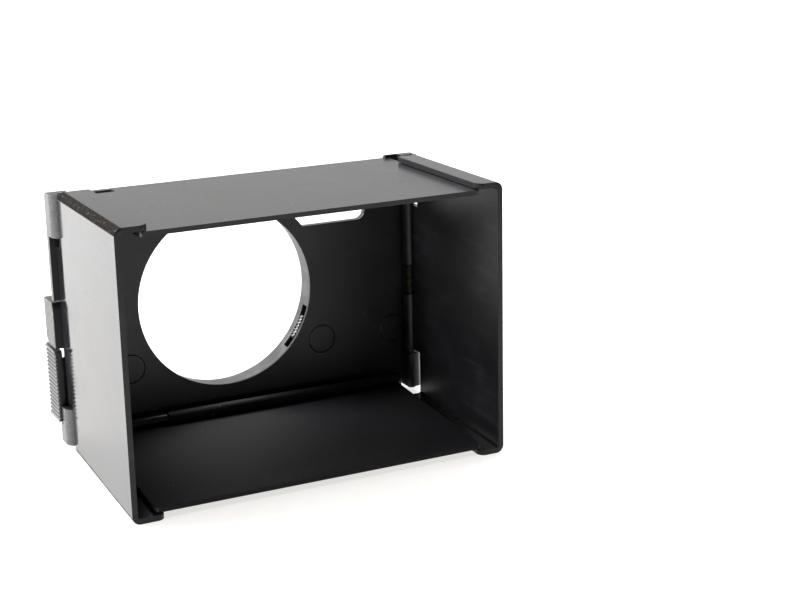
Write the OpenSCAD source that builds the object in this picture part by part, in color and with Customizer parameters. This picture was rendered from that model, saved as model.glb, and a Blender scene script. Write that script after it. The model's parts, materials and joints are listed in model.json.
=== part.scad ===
// Folding rectangular lens hood for a 39 mm lens rim.
// X runs to the right, Y back towards the lens and Z up. The origin is on the lens axis, in the
// stop plane, where the front of the lens rim comes to rest. All sizes are in millimetres.

/* [Hood] */
// Outer width over the two side flaps
hood_w = 78; // [70:0.5:90]
// Outer height over the flanges of the side flaps
hood_h = 55.7; // [52:0.1:60]
// Depth of the open hood in front of the back plate
hood_depth = 40.3; // [36:0.1:44]
// Height of the lens axis above the hood's underside
axis_height = 29.1; // [28:0.1:30]
// Distance from the lens axis to the middle of the hood's width
axis_offset = 4; // [3:0.1:5]

/* [Sheet metal] */
// Thickness of the side flaps
side_t = 1.1; // [0.8:0.05:1.3]
// Thickness of the top and bottom flaps
flap_t = 0.95; // [0.8:0.05:1.1]
// Width of the top and bottom flaps
flap_w = 68.6; // [66:0.1:69]
// Width of the left side flap's flanges
flange_left = 6.4; // [5:0.1:7]
// Width of the right side flap's flanges
flange_right = 5.4; // [5:0.1:7]
// Outside radius of the bent edge between a side flap and its flange
bend_r = 1.6; // [1.4:0.05:2]
// Gap between a top or bottom flap and the flange that holds it
flange_gap = 0.15; // [0.1:0.05:0.3]
// Angle by which the side flaps' lower flanges rise towards the back
flange_rise = 2.8; // [2.6:0.1:3]
// Angle by which the open bottom flap slopes down towards the front
bottom_slope = 3.85; // [3.7:0.05:4]

/* [Back plate] */
// Thickness of the back plate
plate_t = 1.5; // [1.2:0.1:1.8]
// How far the back plate stands out beyond the side flaps
plate_margin = 1.2; // [1:0.1:1.2]
// Radius of the opening in the back plate
hole_r = 19; // [18:0.1:19.3]
// Thickness of the lip that stops the lens rim
lip_t = 0.5; // [0.3:0.1:0.8]

/* [Lens collar] */
// Bore radius of the collar, which slips over the lens rim
collar_r = 19.6; // [19.5:0.05:20]
// Wall thickness of the collar
collar_wall = 1.6; // [1.2:0.1:1.7]
// Distance of the collar's back rim behind the plate's front face
collar_back = 6.1; // [5.5:0.1:7]

/* [Hinges] */
// Outside radius of the hinge knuckles
knuckle_r = 1.3; // [1.2:0.05:1.4]
// Radius of the hinge pins
pin_r = 0.6; // [0.5:0.05:0.7]
// Outside radius of the fixed ears that the top and bottom flaps turn round
ear_r = 1.05; // [1:0.01:1.06]
// Running clearance between a pin and a flap's knuckle
pin_gap = 0.03; // [0.02:0.01:0.08]
// Distance of the side hinges in front of the plate
side_hinge = 2.4; // [2.3:0.05:2.5]
// Distance of the top hinge in front of the plate
top_hinge = 1.5; // [1.4:0.05:1.6]
// Distance of the bottom hinge in front of the plate
bottom_hinge = 2.75; // [2.7:0.05:3]

/* [Clamp] */
// How far a thumb pad can be pressed in
pad_travel = 1.5; // [1:0.1:1.5]
// Distance of a thumb pad's grip face beyond the side flap
pad_proud = 1.9; // [1.8:0.1:2.2]
// Number of ribs on a thumb pad
pad_ribs = 18; // [14:1:20]
// Angle of the claws below the horizontal
claw_angle = 30; // [28:0.5:32]
// Number of grip teeth on a claw
claw_teeth = 7; // [5:1:9]
// Number of turns in a clamp spring
spring_turns = 6; // [5:1:7]

/* [Hidden] */
$fn = 64;

enamel = [0.10, 0.10, 0.11];
satin = [0.18, 0.18, 0.19];
steel = [0.62, 0.62, 0.64];
brass = [0.72, 0.58, 0.30];

// Planes of the open hood.
left_x = axis_offset - hood_w / 2;
right_x = axis_offset + hood_w / 2;
bottom_z = -axis_height;
top_z = bottom_z + hood_h;
front_y = -hood_depth;
flap_left_x = axis_offset - flap_w / 2;
flap_right_x = axis_offset + flap_w / 2;
flap_front_y = front_y + 0.4;
top_sheet_z = top_z - side_t - flange_gap - flap_t;

// Hinge axes: the side ones lie just inside the flaps' outer faces, and the others lie below
// or above the sheet that they carry.
knuckle_offset = 1.1;
axis_inset = knuckle_r + 0.15;
top_axis_z = top_sheet_z - knuckle_offset;
bottom_axis_z = bottom_z + side_t + flange_gap
    + (flap_t + knuckle_offset) * cos(bottom_slope)
    - (flap_front_y + bottom_hinge) * sin(bottom_slope);
knuckle_gap = 0.2;
notch_left_y = -side_hinge - knuckle_r - 0.25;
notch_right_y = notch_left_y - 1.95;
pin_head_r = 0.95;
pin_head_t = 0.35;
sleeve_r = 1;
sleeve_relief = 0.1;

// Side hinge stations along Z, from the bottom up.
ear_low = [-25.5, -17.9];
barrel_low = [-17.7, -4.5];
sleeve_z = [-4.3, 2];
barrel_high = [2.2, 17.1];
ear_high = [17.3, 26];
notch_low_z = -17.2;
notch_high_z = 15.3;

// Top and bottom hinge stations along X, measured from a flap's left and right edges.
ear_left_w = 3.6;
sleeve_w = 3.2;
ear_right_w = 5.4;
bottom_ear_left_w = 15;
bottom_ear_right_w = 7.1;
bottom_ear_drop = 0.75;

// Back plate outline.
plate_left = left_x - plate_margin;
plate_right = right_x + plate_margin;
plate_top = 25.2;
ear_corner_r = 1.2;
ear_left_bend_r = 2.4;
ear_right_proud = 0.55;
plate_bottom = -26.9;
pad_bay_z = [-21.7, 4.1];
pad_bay_depth = 2.65;
corner_cut = [5.2, 1.4];
corner_tab_w = 2.8;
seat_gap = 0.05;
head_gap = 0.12;
window_x = [12.5, 32.2];
window_z = [12.8, 21.8];
window_corner = 1.8;
collar_outer = collar_r + collar_wall;
ring_r = collar_outer + 0.7;

// Clamp mechanism behind the plate: two crossing slider layers, posts and the rear cover.
slider_t = 0.8;
layer_a = plate_t + 0.3;
layer_b = plate_t + 1.5;
cover_inner = plate_t + 2.9;
cover_t = 0.8;
cover_outer = cover_inner + cover_t;
cover_z = [-26.6, 8];
cover_inset = 3;
cover_door_z = [-21.2, -7.8];
post_z = -12.45;
post_xs = [-30.2, -21.4, 21.4, 38.2];
post_r = 1;
post_head_r = 3;
post_head_t = 0.8;
screw_r = 0.5;
slot_gap = 0.05;
claw_half = 7.4;
claw_tip_r = collar_r - 0.05;
claw_root_r = collar_outer + 0.7;
claw_y = [2.05, 3.85];
claw_step_y = 2.9;
claw_step_r = 20.3;
claw_slot_half = 14.2;
claw_slot_y = [1.9, 4];
arm_z = [-20.6, -8.4];
band_z = [-25.5, -22];
tab_z = [-9, -2.2];
spring_z = -3.6;
spring_r = 1;
spring_wire = 0.2;
spring_len = 7;
pad_z = [-21.2, -6.4];
pad_y = [0.15, 8.1];
pad_t = 1.6;
rest_z = [-5.9, 3.6];
rest_y = [0.1, 6.6];
rest_proud = 1.55;

// Pieces are drawn from the back plate's front face. This moves them to the stop plane.
module placed() {
    translate([0, -lip_t, 0]) children();
}

// Extrudes an outline drawn in X and Z from y0 back to y1.
module along_y(y0, y1) {
    translate([0, y1, 0]) rotate([90, 0, 0]) linear_extrude(y1 - y0) children();
}

module rod_x(r, x0, x1) {
    translate([x0, 0, 0]) rotate([0, 90, 0]) cylinder(r = r, h = x1 - x0);
}

module rod_y(r, y0, y1) {
    translate([0, y1, 0]) rotate([90, 0, 0]) cylinder(r = r, h = y1 - y0);
}

module rod_z(r, z0, z1) {
    translate([0, 0, z0]) cylinder(r = r, h = z1 - z0);
}

// A box given by its two corners.
module block(a, b) {
    translate(a) cube(b - a);
}

// A rectangle given by its two corners.
module rect(a, b) {
    translate(a) square(b - a);
}

// The mirror image about the middle of the hood's width.
module to_right() {
    translate([2 * axis_offset, 0, 0]) mirror([1, 0, 0]) children();
}

// A sector of a ring in the X-Z plane, centred on angle a.
module ring_sector(r0, r1, a, half) {
    far = 2 * r1;
    intersection() {
        difference() {
            circle(r = r1, $fn = 128);
            circle(r = r0, $fn = 128);
        }
        polygon([
            [0, 0],
            [far * cos(a - half), far * sin(a - half)],
            [far * cos(a + half), far * sin(a + half)]]);
    }
}

// ---- Side flaps ----

// The outline of a flange of width w seen from above. It ends at back, and its inner front
// corner is rounded.
module flange_outline(w, back) {
    r = 1.5;
    rect([bend_r, front_y], [w - r, back]);
    rect([bend_r, front_y + r], [w, back]);
    translate([w - r, front_y + r]) circle(r = r);
}

// The quarter ring of a bent edge, drawn in X and Z from the outer corner.
module bend(sz) {
    intersection() {
        translate([bend_r, -sz * bend_r]) difference() {
            circle(r = bend_r);
            circle(r = bend_r - side_t);
        }
        translate([0, sz > 0 ? -bend_r : 0]) square(bend_r);
    }
}

// Turns a piece about the lower front edge, so that it rises towards the back.
module risen() {
    translate([0, front_y, bottom_z]) rotate([flange_rise, 0, 0])
        translate([0, -front_y, -bottom_z]) children();
}

// A side flap's sheet with its flanges. Behind back it is cut away beside the fixed ears.
module side_sheet(flange_w, back) {
    difference() {
        union() {
            difference() {
                block([0, front_y, bottom_z], [side_t, -0.15, top_z - bend_r]);
                risen() block([-1, front_y - 5, bottom_z - 5],
                              [side_t + 1, 5, bottom_z + bend_r]);
            }
            translate([0, 0, top_z]) along_y(front_y, back) bend(1);
            translate([0, 0, top_z - side_t])
                linear_extrude(side_t) flange_outline(flange_w, back);
            risen() translate([0, 0, bottom_z]) {
                along_y(front_y, back) bend(-1);
                linear_extrude(side_t) flange_outline(flange_w, back);
            }
        }
        block([-1, front_y - 1, bottom_z - 1], [flange_w + 1, front_y, bottom_z + bend_r + 1]);
        block([-1, back, notch_high_z], [side_t + 0.001, 1, top_z + 1]);
        block([-1, back, bottom_z - 1], [side_t + 0.001, 1, notch_low_z]);
    }
}

// The left-hand form, from x = 0 at its outer face.
module side_flap(flange_w, back) {
    difference() {
        union() {
            side_sheet(flange_w, back);
            translate([axis_inset, -side_hinge, 0]) {
                rod_z(knuckle_r, barrel_low[0], barrel_low[1]);
                rod_z(knuckle_r, barrel_high[0], barrel_high[1]);
            }
        }
        translate([axis_inset, -side_hinge, 0]) {
            rod_z(pin_r + pin_gap, bottom_z, top_z);
            rod_z(sleeve_r + sleeve_relief, barrel_low[1], barrel_high[0]);
        }
    }
}

module left_flap() {
    color(enamel) placed() translate([left_x, 0, 0]) side_flap(flange_left, notch_left_y);
}

module right_flap() {
    color(enamel) placed() translate([right_x, 0, 0]) mirror([1, 0, 0])
        side_flap(flange_right, notch_right_y);
}

// ---- Top and bottom flaps ----

// A flap's outline seen from above, with rounded front corners.
module flap_outline(back_y) {
    r = 0.9;
    rect([flap_left_x + r, flap_front_y], [flap_right_x - r, back_y]);
    rect([flap_left_x, flap_front_y + r], [flap_right_x, back_y]);
    for (x = [flap_left_x + r, flap_right_x - r])
        translate([x, flap_front_y + r]) circle(r = r);
}

// A flap whose sheet starts at sheet_z and whose hinge axis is at axis_y, axis_z. Its barrel
// leaves room for the ears at both ends, and its sheet is cut away over the first notch_w.
module cross_flap(sheet_z, axis_y, axis_z, back_y, ear_ws, notch_w) {
    barrel_x0 = flap_left_x + ear_ws[0] + knuckle_gap;
    barrel_x1 = flap_right_x - ear_ws[1] - knuckle_gap;
    difference() {
        union() {
            translate([0, 0, sheet_z]) linear_extrude(flap_t) flap_outline(back_y);
            translate([0, axis_y, axis_z]) rod_x(knuckle_r, barrel_x0, barrel_x1);
        }
        block([flap_left_x - 1, axis_y - knuckle_r - 0.2, sheet_z - 1],
              [flap_left_x + notch_w, 1, sheet_z + flap_t + 1]);
        translate([0, axis_y, axis_z])
            rod_x(pin_r + pin_gap, flap_left_x, flap_right_x);
    }
}

module top_flap() {
    color(satin) placed() cross_flap(top_sheet_z, -top_hinge, top_axis_z, -0.15,
        [ear_left_w + sleeve_w + knuckle_gap, ear_right_w],
        ear_left_w + sleeve_w + 2 * knuckle_gap - 0.001);
}

// The bottom flap is drawn level and then turned down about its hinge.
module bottom_flap() {
    color(satin) placed() translate([0, -bottom_hinge, bottom_axis_z])
        rotate([bottom_slope, 0, 0]) translate([0, bottom_hinge, -bottom_axis_z])
            cross_flap(bottom_axis_z - knuckle_offset - flap_t, -bottom_hinge, bottom_axis_z,
                -0.4, [bottom_ear_left_w, bottom_ear_right_w], 0);
}

// ---- Back plate ----

module window_outline() {
    difference() {
        union() {
            rect([window_x[0], window_z[0]], [window_x[1] - window_corner, window_z[1]]);
            rect([window_x[0], window_z[0] + window_corner], [window_x[1], window_z[1]]);
            translate([window_x[1] - window_corner, window_z[0] + window_corner])
                circle(r = window_corner);
        }
        circle(r = ring_r, $fn = 128);
    }
}

// What is cut from the plate's right side: the bay for the thumb pad and the finger rest, and
// the lower corner.
module side_cuts() {
    rect([plate_right - pad_bay_depth, pad_bay_z[0]], [plate_right + 1, pad_bay_z[1]]);
    rect([plate_right - corner_cut[0], plate_bottom - 1],
         [plate_right + 1, plate_bottom + corner_cut[1]]);
}

module plate_outline() {
    difference() {
        rect([plate_left, plate_bottom], [plate_right, plate_top]);
        window_outline();
    }
}

// An ear seen from the side, Y to the right and Z up. Its back corner is rounded at the top if
// up is 1, and at the bottom if up is -1.
module ear_side(span, front, up) {
    r = ear_corner_r;
    z = up > 0 ? span[1] - r : span[0] + r;
    full = up > 0 ? [span[0], z] : [z, span[1]];
    rect([front, span[0]], [plate_t - r, span[1]]);
    rect([front, full[0]], [plate_t, full[1]]);
    translate([plate_t - r, z]) circle(r = r);
}

// A fixed ear that carries the end of a side hinge's pin: the plate's edge bent forward with
// radius r, its outer face at outer. The plate beside it stands as high as the ear over tab_w.
module side_ear(span, up, outer, r, tab_w) {
    x = left_x + axis_inset;
    front = -side_hinge - knuckle_r;
    z0 = span[0] - 1;
    z1 = span[1] + 1;
    intersection() {
        rotate([90, 0, 90]) translate([0, 0, outer])
            linear_extrude(x + knuckle_r + tab_w - outer) ear_side(span, front, up);
        union() {
            block([outer + r, front, z0], [x, plate_t + 1, z1]);
            block([outer - 1, front + r, z0], [x, plate_t + 1, z1]);
            block([x - 1, -side_hinge, z0], [x + knuckle_r, plate_t + 1, z1]);
            block([x - 1, 0, z0], [x + 50, plate_t + 1, z1]);
            translate([outer + r, front + r, 0]) rod_z(r, z0, z1);
            translate([x, -side_hinge, 0]) rod_z(knuckle_r, z0, z1);
        }
    }
}

// A fixed ear that carries an end of the top or bottom hinge's pin. The web that joins it to
// the plate reaches drop below the pin's axis.
module cross_ear(x0, x1, axis_y, axis_z, drop) {
    block([x0, axis_y, axis_z - drop], [x1, 0.2, axis_z + ear_r]);
    translate([0, axis_y, axis_z]) rod_x(ear_r, x0, x1);
}

module top_ear(x0, x1) {
    cross_ear(x0, x1, -top_hinge, top_axis_z, ear_r);
}

module bottom_ear(x0, x1) {
    cross_ear(x0, x1, -bottom_hinge, bottom_axis_z, bottom_ear_drop);
}

module fixed_ears() {
    right_outer = left_x - ear_right_proud;
    side_ear(ear_low, -1, plate_left, ear_left_bend_r, 0);
    side_ear(ear_high, 1, plate_left, ear_left_bend_r, 0);
    to_right() side_ear(ear_low, -1, right_outer, knuckle_r, 0);
    to_right() side_ear(ear_high, 1, right_outer, knuckle_r, corner_tab_w);
    sleeve_room = 2 * knuckle_gap + sleeve_w;
    top_ear(flap_left_x, flap_left_x + ear_left_w);
    top_ear(flap_right_x - ear_right_w, flap_right_x);
    bottom_ear(flap_left_x, flap_left_x + ear_left_w);
    bottom_ear(flap_left_x + ear_left_w + sleeve_room, flap_left_x + bottom_ear_left_w);
    bottom_ear(flap_right_x - bottom_ear_right_w, flap_right_x);
}

// The bores in the fixed ears fit the pins without play.
module pin_bores() {
    translate([left_x + axis_inset, -side_hinge, 0]) rod_z(pin_r, -40, 40);
    translate([right_x - axis_inset, -side_hinge, 0]) rod_z(pin_r, -40, 40);
    for (axis = [[-top_hinge, top_axis_z], [-bottom_hinge, bottom_axis_z]])
        translate([0, axis[0], axis[1]]) rod_x(pin_r, flap_left_x - 0.1, flap_right_x + 0.1);
}

// The lug that a clamp spring pushes against, behind the plate.
module spring_lug() {
    x = tab_inner_x() + spring_len;
    block([x, plate_t - 0.1, spring_z - 1.4], [x + 0.8, cover_inner - 0.2, spring_z + 1.4]);
}

function tab_inner_x() = left_x + cover_inset + 0.8;

module back_plate() {
    color(satin) placed() difference() {
        union() {
            along_y(0, plate_t) plate_outline();
            fixed_ears();
            spring_lug();
            to_right() spring_lug();
        }
        rod_y(hole_r, -1, plate_t + 1, $fn = 128);
        rod_y(collar_outer + seat_gap, lip_t, plate_t + 1, $fn = 128);
        pin_bores();
        along_y(0, plate_t + 1) side_cuts();
        to_right() along_y(0, plate_t + 1) side_cuts();
        for (x = post_xs) translate([x, 0, post_z]) {
            rod_y(post_head_r + head_gap, -1, post_head_t);
            rod_y(post_r, 0, plate_t + 1);
        }
    }
}

// ---- Lens collar, rear cover and their fasteners ----

module lens_collar() {
    color(steel) placed() difference() {
        rod_y(collar_outer, lip_t, collar_back, $fn = 128);
        rod_y(collar_r, -1, collar_back + 1, $fn = 128);
        for (a = [-claw_angle, 180 + claw_angle])
            along_y(claw_slot_y[0], claw_slot_y[1])
                ring_sector(collar_r - 1, collar_outer + 1, a, claw_slot_half);
    }
}

module cover_box(inset, y0, y1) {
    block([left_x + cover_inset - 1 + inset, y0, cover_z[0] + inset],
          [right_x - cover_inset + 1 - inset, y1, cover_z[1] - inset]);
}

module rear_cover() {
    color(satin) placed() difference() {
        cover_box(0, plate_t, cover_outer);
        cover_box(cover_t, plate_t - 1, cover_inner);
        rod_y(collar_outer + 0.1, 0, cover_outer + 1, $fn = 128);
        block([left_x - 5, plate_t - 1, cover_door_z[0]],
              [right_x + 5, cover_inner, cover_door_z[1]]);
        for (x = post_xs)
            translate([x, 0, post_z]) rod_y(screw_r + 0.15, 0, cover_outer + 1);
    }
}

module guide_posts() {
    color(steel) placed() for (x = post_xs) translate([x, 0, post_z]) difference() {
        union() {
            rod_y(post_head_r, 0, post_head_t);
            rod_y(post_r, 0, cover_inner);
        }
        rod_y(screw_r + seat_gap, cover_inner - 2.4, cover_inner + 1);
    }
}

module cover_screws() {
    head_t = 0.7;
    color(steel) placed() for (x = post_xs) translate([x, 0, post_z]) difference() {
        union() {
            rod_y(screw_r, cover_inner - 2, cover_outer);
            rod_y(1.5, cover_outer, cover_outer + head_t);
        }
        block([-2, cover_outer + head_t - 0.35, -0.2], [2, cover_outer + 1, 0.2]);
    }
}

// ---- Hinge pins and friction sleeves ----

module pin_z(x, z0, z1) {
    color(steel) placed() translate([x, -side_hinge, 0]) {
        rod_z(pin_r, z0, z1);
        rod_z(pin_head_r, z1, z1 + pin_head_t);
        rod_z(pin_head_r, z0 - pin_head_t, z0);
    }
}

module pin_x(y, z) {
    color(steel) placed() translate([0, y, z]) {
        rod_x(pin_r, flap_left_x, flap_right_x);
        rod_x(pin_head_r, flap_right_x, flap_right_x + pin_head_t);
        rod_x(pin_head_r, flap_left_x - pin_head_t, flap_left_x);
    }
}

module left_hinge_pin() { pin_z(left_x + axis_inset, ear_low[0], ear_high[1]); }
module right_hinge_pin() { pin_z(right_x - axis_inset, ear_low[0], ear_high[1]); }
module top_hinge_pin() { pin_x(-top_hinge, top_axis_z); }
module bottom_hinge_pin() { pin_x(-bottom_hinge, bottom_axis_z); }

// A split spring sleeve that grips its pin and stiffens the hinge.
module sleeve(len) {
    difference() {
        cylinder(r = sleeve_r, h = len);
        translate([0, 0, -1]) cylinder(r = pin_r + 0.01, h = len + 2);
        block([0, -0.15, -1], [2, 0.15, len + 1]);
    }
}

module side_sleeve(x) {
    color(brass) placed() translate([x, -side_hinge, sleeve_z[0]]) sleeve(sleeve_z[1] - sleeve_z[0]);
}

module cross_sleeve(y, z) {
    x = flap_left_x + ear_left_w + knuckle_gap;
    color(brass) placed() translate([x, y, z]) rotate([0, 90, 0]) sleeve(sleeve_w);
}

module left_friction_sleeve() { side_sleeve(left_x + axis_inset); }
module right_friction_sleeve() { side_sleeve(right_x - axis_inset); }
module top_friction_sleeve() { cross_sleeve(-top_hinge, top_axis_z); }
module bottom_friction_sleeve() { cross_sleeve(-bottom_hinge, bottom_axis_z); }

// ---- Clamp ----

// The slot that lets a slider move along its post by the pad's travel, towards +X.
module post_slot(x) {
    r = post_r + slot_gap;
    x0 = x - pad_travel - 0.1;
    translate([x0, post_z]) circle(r = r);
    translate([x + 0.1, post_z]) circle(r = r);
    rect([x0, post_z - r], [x + 0.1, post_z + r]);
}

// The slider that joins the left pad to the right claw. It passes below the collar.
module left_slider_outline() {
    inner_x = left_x + 3.1;
    difference() {
        union() {
            rect([left_x - pad_proud + pad_t, arm_z[0]], [inner_x, arm_z[1]]);
            rect([inner_x, band_z[0]], [-25.6, arm_z[1]]);
            rect([inner_x, band_z[0]], [24.6, band_z[1]]);
            rect([17, band_z[0]], [24.6, arm_z[1]]);
        }
        circle(r = claw_root_r, $fn = 128);
        post_slot(post_xs[0]);
        post_slot(post_xs[2]);
    }
}

// The slider that joins the right pad to the left claw, drawn for a move towards -X.
module right_slider_outline() {
    inner_x = right_x - 3.1;
    difference() {
        union() {
            rect([inner_x, arm_z[0]], [right_x + pad_proud - pad_t, arm_z[1]]);
            rect([26, band_z[0]], [inner_x, arm_z[1]]);
            rect([-24.6, band_z[0]], [inner_x, band_z[1]]);
            rect([-24.6, band_z[0]], [-17, arm_z[1]]);
        }
        circle(r = claw_root_r, $fn = 128);
        mirror([1, 0]) post_slot(-post_xs[1]);
        mirror([1, 0]) post_slot(-post_xs[3]);
    }
}

module spring_tab(y0, y1) {
    x = tab_inner_x();
    block([x - 0.8, y0, tab_z[0]], [x, y1, tab_z[1]]);
}

module left_clamp_slider() {
    color(steel) placed() {
        along_y(layer_a, layer_a + slider_t) left_slider_outline();
        spring_tab(layer_a, cover_inner - 0.3);
    }
}

module right_clamp_slider() {
    color(steel) placed() {
        along_y(layer_b, layer_b + slider_t) right_slider_outline();
        to_right() spring_tab(plate_t + 0.3, layer_b + slider_t);
    }
}

// A thumb pad with horizontal ribs on its grip face.
module thumb_pad() {
    x0 = left_x - pad_proud;
    pitch = (pad_z[1] - pad_z[0]) / pad_ribs;
    depth = 0.3;
    difference() {
        union() {
            block([x0, pad_y[0], pad_z[0]], [x0 + pad_t, pad_y[1] - 1, pad_z[1]]);
            block([x0 + 0.6, pad_y[0], pad_z[0]], [x0 + pad_t, pad_y[1], pad_z[1]]);
        }
        for (i = [1 : pad_ribs - 1])
            translate([x0, 0, pad_z[0] + i * pitch]) rotate([0, 45, 0])
                block([-depth, -1, -depth], [depth, pad_y[1] + 1, depth]);
    }
}

module left_thumb_pad() { color(enamel) placed() thumb_pad(); }
module right_thumb_pad() { color(enamel) placed() to_right() thumb_pad(); }

// A claw at angle a round the collar. Its back half reaches further in and has teeth.
module claw(a) {
    color(steel) placed() {
        along_y(claw_y[0], claw_step_y) ring_sector(claw_step_r, claw_root_r, a, claw_half);
        along_y(claw_step_y, claw_y[1]) difference() {
            ring_sector(claw_tip_r, claw_root_r, a, claw_half);
            for (i = [0 : claw_teeth])
                rotate(a + claw_half * (2 * i / claw_teeth - 1))
                    translate([claw_tip_r, 0]) rotate(45) square(0.5, center = true);
        }
    }
}

module right_claw() { claw(-claw_angle); }
module left_claw() { claw(180 + claw_angle); }

// A point on the spring's wire: turn t of the coil, angle b round the wire.
function spring_point(t, b) = let (r = spring_r + spring_wire * cos(b)) [
    spring_wire * (1 + sin(b)) + t / spring_turns * (spring_len - 2 * spring_wire),
    r * cos(360 * t), r * sin(360 * t)];

// A compression spring along X, built ring by ring round its wire.
module coil_spring() {
    sides = 6;
    steps = 16 * spring_turns;
    points = [for (i = [0 : steps], j = [0 : sides - 1])
        spring_point(i / 16, 360 * j / sides)];
    walls = [for (i = [0 : steps - 1], j = [0 : sides - 1]) let (k = (j + 1) % sides)
        [i * sides + j, i * sides + k, (i + 1) * sides + k, (i + 1) * sides + j]];
    start = [for (j = [sides - 1 : -1 : 0]) j];
    end = [for (j = [0 : sides - 1]) steps * sides + j];
    translate([tab_inner_x(), plate_t + 1.45, spring_z])
        polyhedron(points, concat([start], walls, [end]), convexity = 6);
}

module left_clamp_spring() { color(steel) placed() coil_spring(); }
module right_clamp_spring() { color(steel) placed() to_right() coil_spring(); }

// A fixed rest for the fingertip above a thumb pad. Its back reaches in to the rear cover, and
// its front only into the bay in the plate's edge.
module finger_rest() {
    x0 = left_x - rest_proud;
    x1 = left_x + cover_inset - 1;
    bay_x = plate_left + pad_bay_depth;
    chamfer = 1.3;
    difference() {
        rotate([90, 0, 90]) translate([0, 0, x0]) linear_extrude(x1 - x0) polygon([
            [rest_y[0], rest_z[0]], [rest_y[1] - chamfer, rest_z[0]],
            [rest_y[1], rest_z[0] + chamfer], [rest_y[1], rest_z[1]],
            [rest_y[0] + 0.8, rest_z[1]], [rest_y[0], rest_z[1] - chamfer]]);
        block([bay_x - seat_gap, -1, rest_z[0] - 1], [x1 + 1, plate_t + seat_gap, rest_z[1] + 1]);
    }
}

module left_finger_rest() { color(enamel) placed() finger_rest(); }
module right_finger_rest() { color(enamel) placed() to_right() finger_rest(); }

back_plate();
lens_collar();
rear_cover();
left_flap();
right_flap();
top_flap();
bottom_flap();
left_hinge_pin();
right_hinge_pin();
top_hinge_pin();
bottom_hinge_pin();
left_friction_sleeve();
right_friction_sleeve();
top_friction_sleeve();
bottom_friction_sleeve();
left_clamp_slider();
right_clamp_slider();
left_thumb_pad();
right_thumb_pad();
left_claw();
right_claw();
left_clamp_spring();
right_clamp_spring();
left_finger_rest();
right_finger_rest();
guide_posts();
cover_screws();
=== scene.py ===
"""The looks of the folding rectangular lens hood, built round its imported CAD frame.

Each visible CAD node is carried over as a finished piece: the same shape with its edges broken,
in a procedural material. Lengths are written in millimetres and scaled by MM.
"""
import json
import math

import bmesh
import bpy
from mathutils import Matrix, Vector


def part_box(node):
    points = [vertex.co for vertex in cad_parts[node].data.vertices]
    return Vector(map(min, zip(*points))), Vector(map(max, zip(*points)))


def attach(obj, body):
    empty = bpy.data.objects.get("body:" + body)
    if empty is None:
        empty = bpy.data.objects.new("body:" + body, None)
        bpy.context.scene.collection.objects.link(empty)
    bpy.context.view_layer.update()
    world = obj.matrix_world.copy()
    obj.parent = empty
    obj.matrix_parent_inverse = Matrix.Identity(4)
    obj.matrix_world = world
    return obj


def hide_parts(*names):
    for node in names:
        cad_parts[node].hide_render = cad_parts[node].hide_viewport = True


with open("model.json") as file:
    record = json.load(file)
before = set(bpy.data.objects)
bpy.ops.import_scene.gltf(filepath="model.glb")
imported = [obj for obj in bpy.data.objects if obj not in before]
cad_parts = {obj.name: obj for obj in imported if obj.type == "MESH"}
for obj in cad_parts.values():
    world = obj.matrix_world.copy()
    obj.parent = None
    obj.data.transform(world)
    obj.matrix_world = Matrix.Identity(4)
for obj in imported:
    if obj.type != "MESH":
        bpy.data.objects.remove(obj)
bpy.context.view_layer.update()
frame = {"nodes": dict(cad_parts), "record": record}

MM = 0.001
NODE_BODY = {node: body for body, members in frame["record"]["behaviour"]["bodies"].items()
             for node in members}
STAND_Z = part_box("left_flap")[0].z
FRONT_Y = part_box("left_flap")[0].y
MIDDLE = (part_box("left_flap")[0].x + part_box("right_flap")[1].x) / 2 / MM
TABLE_TILT = math.radians(2.8)
TABLE_GAP = 0.02 * MM
scene = bpy.context.scene


# ---- Camera, floor and light ----

def make_camera():
    """A short telephoto a little above the hood, looking in from its front left."""
    data = bpy.data.cameras.new("camera")
    data.lens = 76.4
    data.sensor_width = 36.0
    data.clip_start = 0.01
    camera = bpy.data.objects.new("camera", data)
    scene.collection.objects.link(camera)
    place = Matrix.Translation(Vector((-115.8, -316.0, 90.6)) * MM)
    heading = Matrix.Rotation(math.radians(-26.06), 4, "Z")
    pitch = Matrix.Rotation(math.radians(90.0 - 15.22), 4, "X")
    roll = Matrix.Rotation(math.radians(-1.24), 4, "Z")
    camera.matrix_world = place @ heading @ pitch @ roll
    scene.camera = camera


def make_floor():
    """A pale table that sweeps up far behind the hood. The hood stands on flanges that rise
    towards the back, so the table is tilted with them about their front edge."""
    front, back, height, bend = -1.2, 1.6, 1.2, 0.4
    half_width = 2.0
    profile = [(front, 0.0), (back - bend, 0.0)]
    steps = 12
    for i in range(1, steps + 1):
        a = math.radians(90.0 * i / steps)
        profile.append((back - bend + bend * math.sin(a), bend * (1 - math.cos(a))))
    profile.append((back, height))
    bm = bmesh.new()
    rows = [[bm.verts.new((x, y, z)) for x in (-half_width, half_width)] for y, z in profile]
    for near, far in zip(rows, rows[1:]):
        bm.faces.new((near[0], near[1], far[1], far[0]))
    mesh = bpy.data.meshes.new("table")
    bm.to_mesh(mesh)
    bm.free()
    for face in mesh.polygons:
        face.use_smooth = True
    table = bpy.data.objects.new("table", mesh)
    scene.collection.objects.link(table)
    table.location = (0.0, FRONT_Y, STAND_Z - TABLE_GAP)
    table.rotation_euler = (TABLE_TILT, 0.0, 0.0)
    m = Maker("table_white")
    grain = m.noise(m.place_mm(), scale=0.04, detail=3)
    m.set("Base Color", m.ramp(grain, [(0.3, (0.34, 0.335, 0.325)), (0.7, (0.36, 0.355, 0.35))]))
    m.set("Roughness", 0.7)
    m.set("Specular IOR Level", 0.1)
    m.set("Emission Color", (1.0, 0.985, 0.96))
    m.set("Emission Strength", 0.72)
    table.data.materials.append(m.material)


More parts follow.
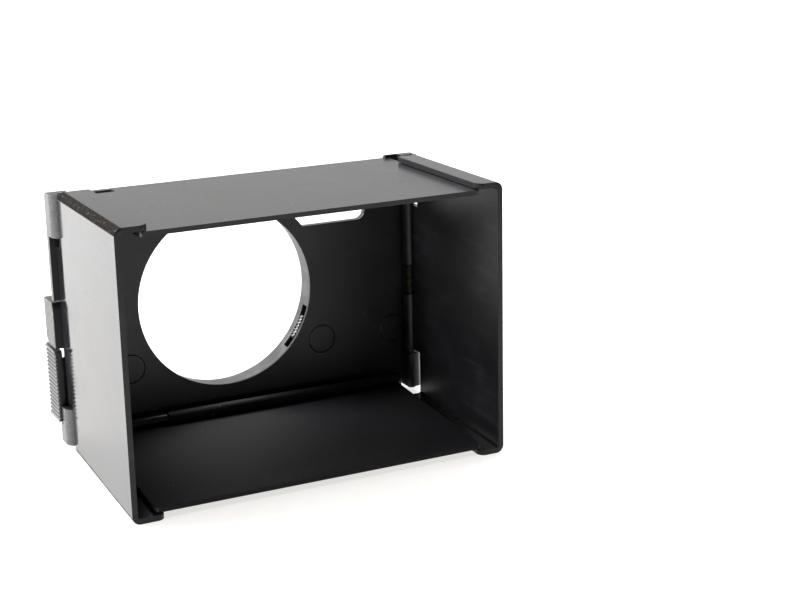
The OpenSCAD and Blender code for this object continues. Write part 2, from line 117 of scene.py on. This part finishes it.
def area_light(name, place, target, size, power, colour=(1, 1, 1)):
    data = bpy.data.lights.new(name, "AREA")
    data.shape = "RECTANGLE"
    data.size, data.size_y = size
    data.energy = power
    data.color = colour
    light = bpy.data.objects.new(name, data)
    scene.collection.objects.link(light)
    light.location = place
    direction = Vector(target) - Vector(place)
    light.rotation_mode = "QUATERNION"
    light.rotation_quaternion = direction.to_track_quat("-Z", "Y")
    return light


def make_light():
    """A white tent at the back, left and top, dark in front where the camera stands, with a
    softbox on the left, one above, and a light on the table that the left flap mirrors."""
    world = bpy.data.worlds.new("studio")
    scene.world = world
    world.use_nodes = True
    tree = world.node_tree
    tree.nodes.clear()
    out = tree.nodes.new("ShaderNodeOutputWorld")
    back = tree.nodes.new("ShaderNodeBackground")
    coords = tree.nodes.new("ShaderNodeTexCoord")
    dot = tree.nodes.new("ShaderNodeVectorMath")
    dot.operation = "DOT_PRODUCT"
    dot.inputs[1].default_value = (-0.35, 0.85, 0.40)
    ramp = tree.nodes.new("ShaderNodeValToRGB")
    ramp.color_ramp.elements[0].position = 0.0
    ramp.color_ramp.elements[0].color = (0.045, 0.045, 0.05, 1)
    ramp.color_ramp.elements[1].position = 0.45
    ramp.color_ramp.elements[1].color = (1.0, 1.0, 1.0, 1)
    tree.links.new(coords.outputs["Generated"], dot.inputs[0])
    tree.links.new(dot.outputs["Value"], ramp.inputs["Fac"])
    tree.links.new(ramp.outputs["Color"], back.inputs["Color"])
    back.inputs["Strength"].default_value = 1.15
    tree.links.new(back.outputs[0], out.inputs["Surface"])
    area_light("left_softbox", (-0.75, 0.05, 0.30), (0, 0, 0), (0.9, 0.7), 3.5)
    area_light("left_table_light", (-0.34, 0.26, 0.30), (-0.12, 0.14, STAND_Z), (0.35, 0.35), 5.6,
               (0.95, 0.97, 1.0))
    area_light("top_softbox", (0.10, 0.25, 0.80), (0, 0.0, 0), (0.9, 0.9), 16.0)
    scene.view_settings.view_transform = "Standard"


# ---- Materials ----

class Maker:
    """Builds one procedural material. Distances inside it are in millimetres."""

    def __init__(self, name):
        self.material = bpy.data.materials.new(name)
        self.material.use_nodes = True
        self.tree = self.material.node_tree
        self.tree.nodes.clear()
        self.shader = self.tree.nodes.new("ShaderNodeBsdfPrincipled")
        out = self.tree.nodes.new("ShaderNodeOutputMaterial")
        self.tree.links.new(self.shader.outputs[0], out.inputs["Surface"])
        self.coords = self.tree.nodes.new("ShaderNodeTexCoord")

    def put(self, socket, value):
        if isinstance(value, bpy.types.NodeSocket):
            self.tree.links.new(value, socket)
        elif isinstance(value, tuple) and socket.type == "RGBA":
            socket.default_value = (*value, 1.0)
        else:
            socket.default_value = value

    def set(self, name, value):
        self.put(self.shader.inputs[name], value)

    def place_mm(self, stretch=(1, 1, 1)):
        """The piece's own coordinates in millimetres, optionally stretched."""
        node = self.tree.nodes.new("ShaderNodeVectorMath")
        node.operation = "MULTIPLY"
        self.tree.links.new(self.coords.outputs["Object"], node.inputs[0])
        node.inputs[1].default_value = tuple(s / MM for s in stretch)
        return node.outputs[0]

    def axis_mm(self, axis):
        node = self.tree.nodes.new("ShaderNodeSeparateXYZ")
        self.tree.links.new(self.place_mm(), node.inputs[0])
        return node.outputs[axis]

    def facing(self, axis):
        """A component of the surface's normal in the piece's own frame."""
        node = self.tree.nodes.new("ShaderNodeSeparateXYZ")
        self.tree.links.new(self.coords.outputs["Normal"], node.inputs[0])
        return node.outputs[axis]

    def noise(self, vector, scale, detail=2.0, roughness=0.5, distortion=0.0):
        node = self.tree.nodes.new("ShaderNodeTexNoise")
        self.put(node.inputs["Vector"], vector)
        self.put(node.inputs["Scale"], scale)
        self.put(node.inputs["Detail"], detail)
        self.put(node.inputs["Roughness"], roughness)
        self.put(node.inputs["Distortion"], distortion)
        return node.outputs["Fac"]

    def specks(self, vector, scale, radius):
        """One in the middle of scattered round specks, and nought between them."""
        node = self.tree.nodes.new("ShaderNodeTexVoronoi")
        self.put(node.inputs["Vector"], vector)
        self.put(node.inputs["Scale"], scale)
        return self.span(node.outputs["Distance"], radius, radius * 0.6)

    def ramp(self, fac, stops):
        node = self.tree.nodes.new("ShaderNodeValToRGB")
        while len(node.color_ramp.elements) < len(stops):
            node.color_ramp.elements.new(0.5)
        for element, (position, colour) in zip(node.color_ramp.elements, stops):
            element.position = position
            element.color = (*colour, 1.0)
        self.put(node.inputs["Fac"], fac)
        return node.outputs["Color"]

    def span(self, value, low, high, to_low=0.0, to_high=1.0):
        node = self.tree.nodes.new("ShaderNodeMapRange")
        node.interpolation_type = "SMOOTHSTEP"
        for name, number in zip(("Value", "From Min", "From Max", "To Min", "To Max"),
                                (value, low, high, to_low, to_high)):
            self.put(node.inputs[name], number)
        return node.outputs["Result"]

    def math(self, operation, a, b=0.0):
        node = self.tree.nodes.new("ShaderNodeMath")
        node.operation = operation
        self.put(node.inputs[0], a)
        self.put(node.inputs[1], b)
        return node.outputs[0]

    def times(self, *values):
        result = values[0]
        for value in values[1:]:
            result = self.math("MULTIPLY", result, value)
        return result

    def mix(self, fac, a, b):
        node = self.tree.nodes.new("ShaderNodeMix")
        node.data_type = "RGBA"
        self.put(node.inputs["Factor"], fac)
        for name, value in (("A", a), ("B", b)):
            socket = [s for s in node.inputs if s.name == name and s.type == "RGBA"][0]
            self.put(socket, value)
        return [s for s in node.outputs if s.type == "RGBA"][0]

    def blend(self, fac, a, b):
        node = self.tree.nodes.new("ShaderNodeMix")
        node.data_type = "FLOAT"
        self.put(node.inputs["Factor"], fac)
        for name, value in (("A", a), ("B", b)):
            socket = [s for s in node.inputs if s.name == name and s.type == "VALUE"][0]
            self.put(socket, value)
        return [s for s in node.outputs if s.type == "VALUE"][0]

    def bump(self, height, depth_mm, strength=1.0, under=None):
        node = self.tree.nodes.new("ShaderNodeBump")
        self.put(node.inputs["Height"], height)
        self.put(node.inputs["Distance"], depth_mm * MM)
        self.put(node.inputs["Strength"], strength)
        if under is not None:
            self.put(node.inputs["Normal"], under)
        return node.outputs["Normal"]


def sideways(m):
    """How far a face looks away from the hood's middle along X: below nought if towards it."""
    side = m.math("SIGN", m.math("SUBTRACT", m.axis_mm("X"), MIDDLE))
    return m.times(m.facing("X"), side)


def outward(m):
    """One on faces that look away from the hood's middle, to the left or right, else nought."""
    return m.span(sideways(m), 0.25, 0.6)


def scratches(m, stretch, scale, share):
    """Hairline scratches: thin crests of a noise drawn out along one direction. Share is how
    much of the surface has them."""
    fine = m.noise(m.place_mm(stretch), scale=scale, detail=1.0, distortion=0.3)
    crest = m.math("ABSOLUTE", m.math("SUBTRACT", fine, 0.5))
    line = m.span(crest, 0.006, 0.0)
    patch = m.span(m.noise(m.place_mm(), scale=0.12, detail=2.0), 1.0 - share, 1.05 - share)
    return m.times(line, patch)


def gloss_enamel():
    """Black enamel over sheet brass: glossy outside, duller inside, rubbed brown at the bends."""
    m = Maker("gloss_enamel")
    outside = outward(m)
    inward = m.span(sideways(m), -0.25, -0.6)
    smudge = m.noise(m.place_mm(), scale=0.11, detail=6.0, roughness=0.6)
    prints = m.noise(m.place_mm((1, 1, 0.5)), scale=0.9, detail=3.0, roughness=0.7)
    hair = scratches(m, (1, 0.06, 1), 0.5, 0.36)
    bend = m.times(m.math("ABSOLUTE", m.facing("X")), m.math("ABSOLUTE", m.facing("Z")))
    grain = m.noise(m.place_mm((1, 0.5, 1)), scale=2.2, detail=6.0, roughness=0.75)
    rub = m.times(m.span(bend, 0.02, 0.22), m.span(grain, 0.30, 0.44))
    fleck = m.span(m.noise(m.place_mm(), scale=5.0, detail=3.0, roughness=0.7), 0.62, 0.70)
    black = m.mix(m.span(smudge, 0.45, 0.75), (0.009, 0.009, 0.011), (0.018, 0.018, 0.020))
    worn = m.mix(fleck, (0.009, 0.007, 0.006), (0.12, 0.085, 0.055))
    streak = m.times(inward, m.span(m.noise(m.place_mm((1, 0.15, 1)), scale=0.5, detail=4.0),
                                    0.50, 0.75), 0.25)
    marks = m.math("MAXIMUM", scratches(m, (1, 0.10, 1), 0.30, 0.46),
                   m.times(m.specks(m.place_mm((0.2, 1, 1)), 0.22, 0.07), m.span(prints, 0.5, 0.6)))
    cloud = m.noise(m.place_mm(), scale=0.30, detail=7.0, roughness=0.7)
    blotch = m.times(m.span(cloud, 0.56, 0.66), m.span(m.axis_mm("Z"), 6.0, 22.0, 0.15, 0.8))
    dulled = m.math("MAXIMUM", m.times(marks, 0.7), m.times(blotch, 0.4))
    mirror = m.times(outside, m.math("SUBTRACT", 1.0, rub), m.math("SUBTRACT", 1.0, dulled))
    colour = m.mix(rub, m.mix(streak, black, (0.06, 0.06, 0.058)), worn)
    m.set("Base Color", m.mix(m.times(hair, 0.25), colour, (0.16, 0.16, 0.17)))
    polish = m.math("ADD", m.span(smudge, 0.35, 0.7, 0.05, 0.17),
                    m.span(prints, 0.5, 0.8, 0.0, 0.06))
    lying = m.blend(inward, 0.20, 0.36)
    m.set("Roughness", m.blend(rub, m.blend(outside, lying, polish), 0.72))
    m.set("IOR", m.blend(mirror, 1.32, 1.92))
    m.set("Specular IOR Level", m.blend(rub, 0.5, 0.05))
    peel = m.noise(m.place_mm(), scale=0.7, detail=2.0)
    m.set("Normal", m.bump(m.times(rub, -1.0), 0.03, 0.5, m.bump(peel, 0.010, 0.25)))
    return m.material


def satin_lacquer(name, low, high, ior, shade=1.0):
    """Satin black lacquer with dust, dull patches and a few rub marks, paler and more polished on
    the outward edges. Shade scales its colour down as painted shade, for a piece that sits in
    shadow."""
    m = Maker(name)
    patch = m.noise(m.place_mm(), scale=0.07, detail=5.0, roughness=0.6)
    grain = m.noise(m.place_mm(), scale=3.0, detail=3.0, roughness=0.7)
    dust = m.times(m.specks(m.place_mm(), 0.35, 0.05), m.span(patch, 0.45, 0.6))
    hair = scratches(m, (0.08, 1, 1), 0.6, 0.36)
    speckle = m.span(m.noise(m.place_mm(), scale=2.4, detail=5.0, roughness=0.75), 0.40, 0.62)
    base = m.mix(m.span(patch, 0.3, 0.75), (0.010 * shade, 0.010 * shade, 0.012 * shade),
                 (0.017 * shade, 0.017 * shade, 0.018 * shade))
    base = m.mix(m.times(outward(m), speckle), base, (0.065, 0.065, 0.064))
    marked = m.mix(m.times(hair, 0.4), base, (0.12, 0.12, 0.12))
    m.set("Base Color", m.mix(m.times(dust, 0.6), marked, (0.40, 0.39, 0.37)))
    m.set("Roughness", m.math("ADD", m.span(patch, 0.3, 0.8, low, high),
                              m.span(grain, 0.4, 0.7, 0.0, 0.05)))
    m.set("IOR", m.blend(outward(m), ior, 1.8))
    m.set("Normal", m.bump(grain, 0.005, 0.3))
    return m.material


def collar_black():
    """The collar's blackened turning, rubbed to grey inside by the lens rims it has held."""
    m = Maker("collar_black")
    turning = m.noise(m.place_mm((0.05, 6.0, 0.05)), scale=1.0, detail=4.0, roughness=0.7)
    patch = m.noise(m.place_mm(), scale=0.3, detail=5.0, roughness=0.65)
    rub = m.times(m.span(patch, 0.42, 0.68), m.span(turning, 0.35, 0.65))
    m.set("Base Color", m.mix(rub, (0.020, 0.020, 0.021), (0.14, 0.135, 0.125)))
    m.set("Metallic", m.times(rub, 0.7))
    m.set("Roughness", m.span(turning, 0.3, 0.7, 0.30, 0.46))
    m.set("Normal", m.bump(turning, 0.008, 0.5))
    return m.material


def worn_black(name, outer_mm, depth_mm, cover, shine):
    """Black enamel rubbed through on the outward face, down to depth_mm below it. Cover is the
    share of enamel that is left there, and shine scales the metal's colour."""
    m = Maker(name)
    reach = m.math("ABSOLUTE", m.math("SUBTRACT", m.axis_mm("X"), MIDDLE))
    outside = m.span(reach, outer_mm - depth_mm, outer_mm - 0.4 * depth_mm)
    grain = m.noise(m.place_mm(), scale=1.6, detail=6.0, roughness=0.75)
    fine = m.noise(m.place_mm(), scale=4.5, detail=4.0, roughness=0.75)
    rub = m.times(outside, m.span(grain, cover - 0.10, cover + 0.10))
    chips = m.times(m.span(fine, 0.62, 0.70), 0.5)
    bare = m.math("MAXIMUM", rub, chips)
    metal = m.mix(m.span(fine, 0.35, 0.65), (0.45 * shine, 0.45 * shine, 0.44 * shine),
                  (0.25 * shine, 0.245 * shine, 0.24 * shine))
    m.set("Base Color", m.mix(bare, (0.010, 0.010, 0.011), metal))
    m.set("Metallic", m.times(bare, 0.9))
    m.set("Roughness", m.blend(bare, 0.40, 0.42))
    m.set("IOR", 1.42)
    m.set("Normal", m.bump(m.math("SUBTRACT", m.times(grain, 0.5), bare), 0.012, 0.6))
    return m.material


def bare_metal(name, colour, dark, roughness):
    """Plain metal with fine drawing marks and darker stains."""
    m = Maker(name)
    stain = m.noise(m.place_mm(), scale=0.9, detail=6.0, roughness=0.7)
    lines = m.noise(m.place_mm((1, 1, 9)), scale=1.3, detail=3.0)
    m.set("Base Color", m.mix(m.span(stain, 0.42, 0.70), colour, dark))
    m.set("Metallic", 1.0)
    m.set("Roughness", m.span(stain, 0.3, 0.8, roughness, roughness + 0.18))
    m.set("Normal", m.bump(lines, 0.004, 0.5))
    return m.material


# ---- Finished pieces ----

def broken_edges(node, width_mm, segments, sharp_deg):
    """A copy of a CAD node's mesh with its flat faces merged and its sharp edges rounded."""
    bm = bmesh.new()
    bm.from_mesh(frame["nodes"][node].data)
    bmesh.ops.remove_doubles(bm, verts=bm.verts, dist=0.0005 * MM)
    bmesh.ops.dissolve_limit(bm, angle_limit=math.radians(0.1), verts=bm.verts, edges=bm.edges,
                             use_dissolve_boundaries=False)
    if width_mm:
        sharp = [e for e in bm.edges
                 if len(e.link_faces) == 2 and e.calc_face_angle(0.0) > math.radians(sharp_deg)]
        bmesh.ops.bevel(bm, geom=sharp, offset=width_mm * MM, offset_type="OFFSET",
                        segments=segments, profile=0.5, affect="EDGES", clamp_overlap=True,
                        harden_normals=False, miter_outer="ARC")
    bmesh.ops.triangulate(bm, faces=[f for f in bm.faces if len(f.verts) > 4])
    for edge in bm.edges:
        edge.smooth = len(edge.link_faces) == 2 and edge.calc_face_angle(0.0) < math.radians(40)
    mesh = bpy.data.meshes.new(node)
    bm.to_mesh(mesh)
    bm.free()
    return mesh


def finished(node, material, width_mm=0.12, segments=2, sharp_deg=35.0):
    """Replaces a CAD node by the same shape with broken edges, in its material."""
    mesh = broken_edges(node, width_mm, segments, sharp_deg)
    for face in mesh.polygons:
        face.use_smooth = True
        face.material_index = 0
    mesh.materials.clear()
    mesh.materials.append(material)
    piece = bpy.data.objects.new(f"{node}_finished", mesh)
    scene.collection.objects.link(piece)
    weighted = piece.modifiers.new("even_shading", "WEIGHTED_NORMAL")
    weighted.keep_sharp = True
    weighted.weight = 80
    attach(piece, NODE_BODY[node])
    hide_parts(node)
    return piece


make_camera()
make_floor()
make_light()

pad_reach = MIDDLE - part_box("left_thumb_pad")[0].x / MM
rest_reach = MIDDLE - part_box("left_finger_rest")[0].x / MM

enamel = gloss_enamel()
plate_satin = satin_lacquer("satin_plate", 0.30, 0.42, 1.40)
top_satin = satin_lacquer("satin_top", 0.20, 0.28, 1.35)
# the bottom flap's copy has its colour scaled by 0.85 as painted shade, for its place in the hood's
# shadow
bottom_satin = satin_lacquer("satin_bottom", 0.56, 0.62, 1.22, 0.85)
collar = collar_black()
pad_metal = worn_black("worn_pad", pad_reach, 0.24, 0.36, 0.6)
rest_metal = worn_black("worn_rest", rest_reach, 0.10, 0.46, 0.42)
steel = bare_metal("clamp_steel", (0.42, 0.415, 0.40), (0.16, 0.155, 0.15), 0.30)
dark_steel = bare_metal("blackened_steel", (0.05, 0.05, 0.055), (0.10, 0.10, 0.10), 0.40)
spring_wire = bare_metal("spring_wire", (0.45, 0.45, 0.47), (0.25, 0.245, 0.24), 0.25)
brass = bare_metal("sleeve_brass", (0.018, 0.017, 0.016), (0.06, 0.045, 0.028), 0.50)

for name in ("left_flap", "right_flap"):
    finished(name, enamel, 0.16, 2)
finished("top_flap", top_satin, 0.14, 2)
finished("bottom_flap", bottom_satin, 0.14, 2)
finished("back_plate", plate_satin, 0.12, 2)
finished("rear_cover", plate_satin, 0.18, 2)
finished("lens_collar", collar, 0.12, 2)
finished("guide_posts", plate_satin, 0.08, 2)
finished("cover_screws", dark_steel, 0.08, 2)
for side in ("left", "right"):
    finished(f"{side}_thumb_pad", pad_metal, 0.06, 2)
    finished(f"{side}_finger_rest", rest_metal, 0.18, 3)
    finished(f"{side}_clamp_slider", dark_steel, 0.06, 2)
    finished(f"{side}_claw", steel, 0.05, 2)
    finished(f"{side}_clamp_spring", spring_wire, 0.0, 2)
for side in ("left", "right", "top", "bottom"):
    finished(f"{side}_hinge_pin", dark_steel, 0.12, 3)
    finished(f"{side}_friction_sleeve", brass, 0.05, 2)
